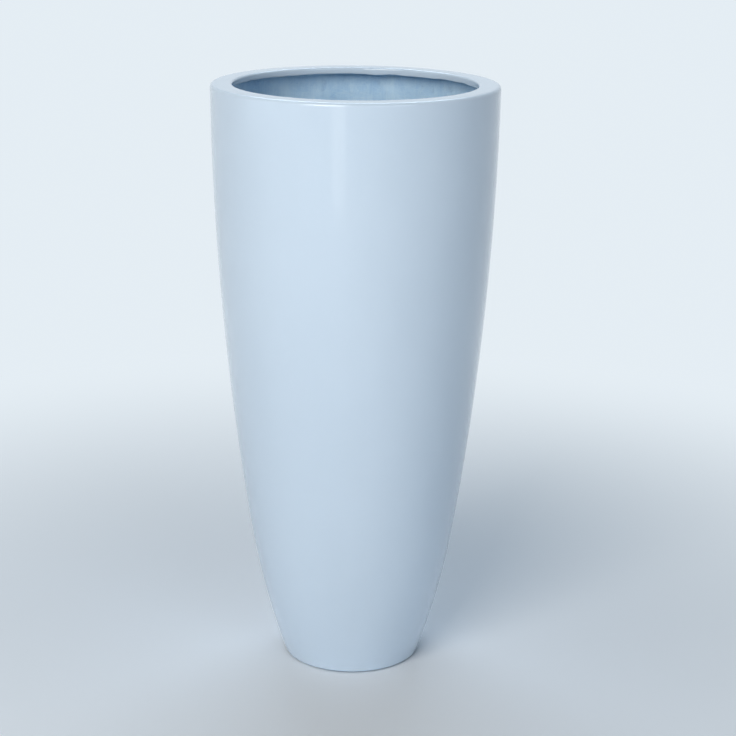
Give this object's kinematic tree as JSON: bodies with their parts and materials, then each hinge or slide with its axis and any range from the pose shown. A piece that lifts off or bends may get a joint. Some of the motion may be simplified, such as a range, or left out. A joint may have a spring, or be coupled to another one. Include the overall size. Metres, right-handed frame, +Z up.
{
  "type": "tall fiberglass planter",
  "caption": "Tall round floor planter with a broad flat lip, a wall that curves in to a narrow foot, and a lift-out planting insert with drop handles.",
  "frame": {"origin": "centre of the planter's base, at the floor it stands on", "axes": "+Z up along the planter's axis; the insert's two handles stand at +X and -X"},
  "size_m": [0.3799, 0.38, 0.8],
  "materials": {
    "gelcoat": "gloss white gel-coat outside and over the lip, raw blue-grey laminate inside",
    "raw_laminate": "raw glass-fibre laminate, blotched and slightly rough",
    "pad_rubber": "matt black",
    "bung_rubber": "matt dark grey",
    "galvanised_sheet": "hot-dip galvanised, faint spangle",
    "zinc_wire": "bright zinc-plated wire",
    "rivet_steel": "plain steel"
  },
  "bodies": {
    "planter": {"shell": "gelcoat", "foot_pad_1": "pad_rubber", "foot_pad_2": "pad_rubber", "foot_pad_3": "pad_rubber", "foot_pad_4": "pad_rubber", "base_plate": "raw_laminate", "ledge": "raw_laminate", "ledge_gusset_1": "raw_laminate", "ledge_gusset_2": "raw_laminate", "ledge_gusset_3": "raw_laminate", "ledge_gusset_4": "raw_laminate"},
    "insert": {"insert_wall": "galvanised_sheet", "insert_bead_wire": "zinc_wire", "insert_floor": "galvanised_sheet", "handle_bracket_1": "galvanised_sheet", "handle_bracket_2": "galvanised_sheet", "bracket_rivets_1": "rivet_steel", "bracket_rivets_2": "rivet_steel"},
    "first_handle": {"handle_1": "zinc_wire"},
    "second_handle": {"handle_2": "zinc_wire"},
    "bung": {"drain_bung": "bung_rubber"}
  },
  "joints": [
    {"name": "insert_lift", "type": "slide", "parent": "planter", "child": "insert", "axis": [0, 0, 1], "range_m": [0, 0.37]},
    {"name": "first_handle_swing", "type": "hinge", "parent": "insert", "child": "first_handle", "pos_m": [0.14064, 0, 0.696], "axis": [0, 1, 0], "range_deg": [0, 181]},
    {"name": "second_handle_swing", "type": "hinge", "parent": "insert", "child": "second_handle", "pos_m": [-0.14064, 0, 0.696], "axis": [0, -1, 0], "range_deg": [0, 181]},
    {"name": "bung_pull", "type": "slide", "parent": "planter", "child": "bung", "axis": [0, 0, 1], "range_m": [0, 0.04]}
  ]
}
